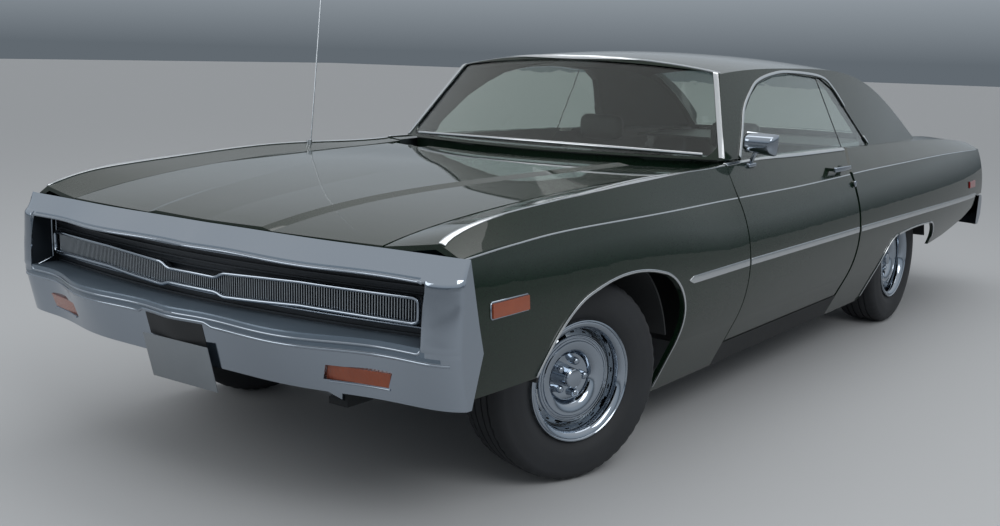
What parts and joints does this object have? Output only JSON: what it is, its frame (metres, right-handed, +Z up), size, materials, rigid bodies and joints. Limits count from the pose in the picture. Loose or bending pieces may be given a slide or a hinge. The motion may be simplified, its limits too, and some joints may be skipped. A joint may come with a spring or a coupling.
{
  "type": "full-size two-door hardtop car",
  "caption": "Full-size two-door hardtop car with a long hood, loop bumper, hidden headlamps, hinged doors, hood and deck lid, steered front wheels and rolling wheels.",
  "frame": {"origin": "on the ground under the middle of the car's length and width", "axes": "+X forward, +Y to the driver's left, +Z up"},
  "size_m": [5.7, 2.0094, 1.7906],
  "materials": {
    "body_paint": "dark green metallic under clear coat",
    "bumper_chrome": "polished plating",
    "grille_enamel": "satin black",
    "lamp_lens_amber": "moulded amber lens",
    "lamp_lens_red": "moulded red lens",
    "window_glass": "clear with a slight green tint",
    "underbody_paint": "matt undercoat",
    "chassis_steel": "satin black",
    "exhaust_steel": "dull",
    "engine_enamel": "engine enamel",
    "radiator_paint": "matt black",
    "dash_vinyl": "grained vinyl",
    "seat_vinyl": "pleated vinyl",
    "antenna_steel": "bright rod",
    "tyre_rubber": "black",
    "wheel_chrome": "bright"
  },
  "bodies": {
    "root": {"front_fenders": "body_paint", "quarter_panels": "body_paint", "roof_panel": "body_paint", "cowl": "body_paint", "door_hinges": "body_paint", "tail_panel": "body_paint", "front_bumper": "bumper_chrome", "rear_bumper": "bumper_chrome", "headlamp_doors": "bumper_chrome", "grille": "grille_enamel", "marker_lamps": "lamp_lens_amber", "tail_lamps": "lamp_lens_red", "windscreen": "window_glass", "rear_window": "window_glass", "quarter_windows": "window_glass", "floor_pan": "underbody_paint", "frame_rails": "underbody_paint", "wheelhouses": "underbody_paint", "fuel_tank": "underbody_paint", "parcel_shelf": "underbody_paint", "front_suspension": "chassis_steel", "rear_axle": "chassis_steel", "driveshaft": "chassis_steel", "exhaust_system": "exhaust_steel", "engine_block": "engine_enamel", "radiator": "radiator_paint", "dashboard": "dash_vinyl", "front_seat": "seat_vinyl", "rear_seat": "seat_vinyl", "antenna": "antenna_steel"},
    "hood": {"hood_panel": "body_paint"},
    "decklid": {"decklid_panel": "body_paint"},
    "door_l": {"door_left": "body_paint", "door_glass_left": "window_glass", "door_mirror": "bumper_chrome"},
    "door_r": {"door_right": "body_paint", "door_glass_right": "window_glass"},
    "steering": {"steering_wheel": "dash_vinyl"},
    "steer_link": {"track_rod": "chassis_steel"},
    "steer_l": {"knuckle_left": "chassis_steel"},
    "steer_r": {"knuckle_right": "chassis_steel"},
    "wheel_fl": {"tyre_front_left": "tyre_rubber", "rim_front_left": "wheel_chrome"},
    "wheel_fr": {"tyre_front_right": "tyre_rubber", "rim_front_right": "wheel_chrome"},
    "wheel_rl": {"tyre_rear_left": "tyre_rubber", "rim_rear_left": "wheel_chrome"},
    "wheel_rr": {"tyre_rear_right": "tyre_rubber", "rim_rear_right": "wheel_chrome"}
  },
  "joints": [
    {"name": "hood_hinge", "type": "hinge", "parent": "root", "child": "hood", "pos_m": [0.915, 0, 0.962], "axis": [0, -1, 0], "range_deg": [0, 48]},
    {"name": "decklid_hinge", "type": "hinge", "parent": "root", "child": "decklid", "pos_m": [-1.85, 0, 0.945], "axis": [0, 1, 0], "range_deg": [0, 60]},
    {"name": "door_left_hinge", "type": "hinge", "parent": "root", "child": "door_l", "pos_m": [0.81, 0.985, 0.6], "axis": [0, 0, -1], "range_deg": [0, 65]},
    {"name": "door_right_hinge", "type": "hinge", "parent": "root", "child": "door_r", "pos_m": [0.81, -0.985, 0.6], "axis": [0, 0, 1], "range_deg": [0, 65]},
    {"name": "steering_wheel_turn", "type": "hinge", "parent": "root", "child": "steering", "pos_m": [0.48, 0.4, 0.77], "axis": [-0.9462, 0, 0.3237], "range_deg": [-252, 1008]},
    {"name": "steer_left", "type": "hinge", "parent": "root", "child": "steer_l", "pos_m": [1.835, 0.73, 0.345], "axis": [0, 0, 1], "range_deg": [-12, 48]},
    {"name": "steer_right", "type": "hinge", "parent": "root", "child": "steer_r", "pos_m": [1.835, -0.73, 0.345], "axis": [0, 0, 1], "range_deg": [-12, 48]},
    {"name": "track_rod_slide", "type": "slide", "parent": "root", "child": "steer_link", "axis": [0, 1, 0], "range_m": [-0.0842, 0.0212]},
    {"name": "spin_front_left", "type": "hinge", "parent": "steer_l", "child": "wheel_fl", "pos_m": [1.85045, 0.77755, 0.345], "axis": [0.309, 0.9511, 0], "continuous": true},
    {"name": "spin_front_right", "type": "hinge", "parent": "steer_r", "child": "wheel_fr", "pos_m": [1.81955, -0.77755, 0.345], "axis": [0.309, 0.9511, 0], "continuous": true},
    {"name": "spin_rear_left", "type": "hinge", "parent": "root", "child": "wheel_rl", "pos_m": [-1.315, 0.78, 0.345], "axis": [0, 1, 0], "continuous": true},
    {"name": "spin_rear_right", "type": "hinge", "parent": "root", "child": "wheel_rr", "pos_m": [-1.315, -0.78, 0.345], "axis": [0, 1, 0], "continuous": true}
  ],
  "couplings": [
    {"joint": "steer_left", "follows": "steering_wheel_turn", "ratio": 0.047619},
    {"joint": "steer_right", "follows": "steering_wheel_turn", "ratio": 0.047619},
    {"joint": "track_rod_slide", "follows": "steering_wheel_turn", "m_per_rad": -0.00473}
  ]
}
